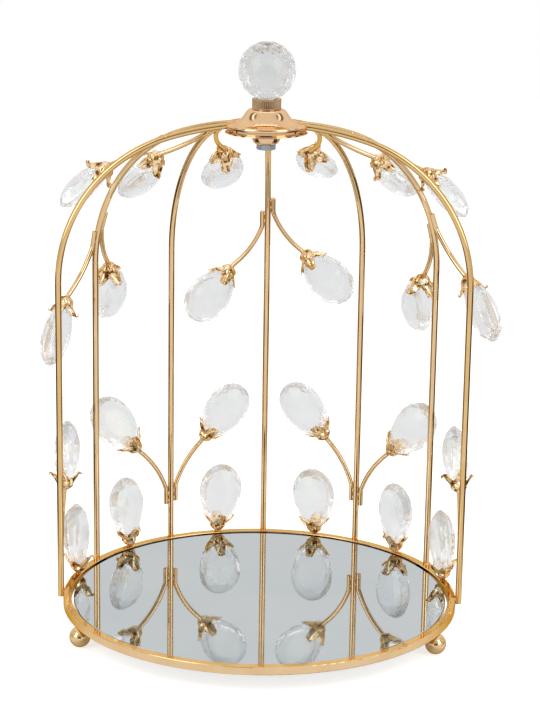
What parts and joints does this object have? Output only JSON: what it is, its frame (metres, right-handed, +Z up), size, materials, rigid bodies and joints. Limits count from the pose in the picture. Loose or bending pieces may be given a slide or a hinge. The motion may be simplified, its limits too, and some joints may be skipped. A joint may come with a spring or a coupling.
{
  "type": "half birdcage display stand",
  "caption": "Open half birdcage of bent rods on a round mirror tray with ball feet, crystal buds on curved stems and a faceted ball finial.",
  "frame": {"origin": "centre of the mirror's top face, on the cage's vertical axis", "axes": "+Z up through the crown and the finial, +Y towards the closed back of the cage, -Y towards its open front, +X to the right when seen from the front"},
  "size_m": [0.2868, 0.2656, 0.36],
  "materials": {
    "gold": "polished gold plating",
    "deep_gold": "polished gold plating on pressed sheet",
    "zinc": "zinc plated",
    "crystal": "clear cut glass",
    "mirror": "silvered glass"
  },
  "bodies": {
    "cage": {"base_ring": "gold", "mirror_disc": "mirror", "mirror_tabs": "deep_gold", "foot_front_left": "gold", "foot_front_right": "gold", "foot_back": "gold", "rod_left_90": "gold", "rod_left_60": "gold", "rod_left_30": "gold", "rod_back": "gold", "rod_right_30": "gold", "rod_right_60": "gold", "rod_right_90": "gold", "crown_core": "deep_gold", "bell_cap": "gold", "saucer": "gold", "lower_stems": "gold", "upper_stems": "gold", "crown_stems": "gold", "base_calyxes": "deep_gold", "lower_calyxes": "deep_gold", "upper_calyxes": "deep_gold", "crown_calyxes": "deep_gold", "base_drop_1": "crystal", "base_drop_2": "crystal", "base_drop_3": "crystal", "base_drop_4": "crystal", "base_drop_5": "crystal", "base_drop_6": "crystal", "lower_drop_1": "crystal", "lower_drop_2": "crystal", "lower_drop_3": "crystal", "lower_drop_4": "crystal", "lower_drop_5": "crystal", "lower_drop_6": "crystal", "upper_drop_1": "crystal", "upper_drop_2": "crystal", "upper_drop_3": "crystal", "upper_drop_4": "crystal", "upper_drop_5": "crystal", "upper_drop_6": "crystal", "crown_drop_1": "crystal", "crown_drop_2": "crystal", "crown_drop_3": "crystal", "crown_drop_4": "crystal", "crown_drop_5": "crystal", "crown_drop_6": "crystal"},
    "finial": {"knurled_collar": "gold", "crystal_ball": "crystal", "stud": "zinc"},
    "washer": {"cup_washer": "deep_gold"},
    "nut": {"hex_nut": "zinc"}
  },
  "joints": [
    {"name": "finial_turn", "type": "hinge", "parent": "cage", "child": "finial", "pos_m": [0, 0, 0.3055], "axis": [0, 0, 1], "continuous": true},
    {"name": "washer_drop", "type": "slide", "parent": "cage", "child": "washer", "axis": [0, 0, -1], "range_m": [0, 0.002]},
    {"name": "nut_turn", "type": "hinge", "parent": "washer", "child": "nut", "pos_m": [0, 0, 0.282], "axis": [0, 0, -1], "range_deg": [0, 720]}
  ],
  "couplings": [
    {"joint": "nut_turn", "follows": "washer_drop", "rad_per_m": 6283.2}
  ]
}
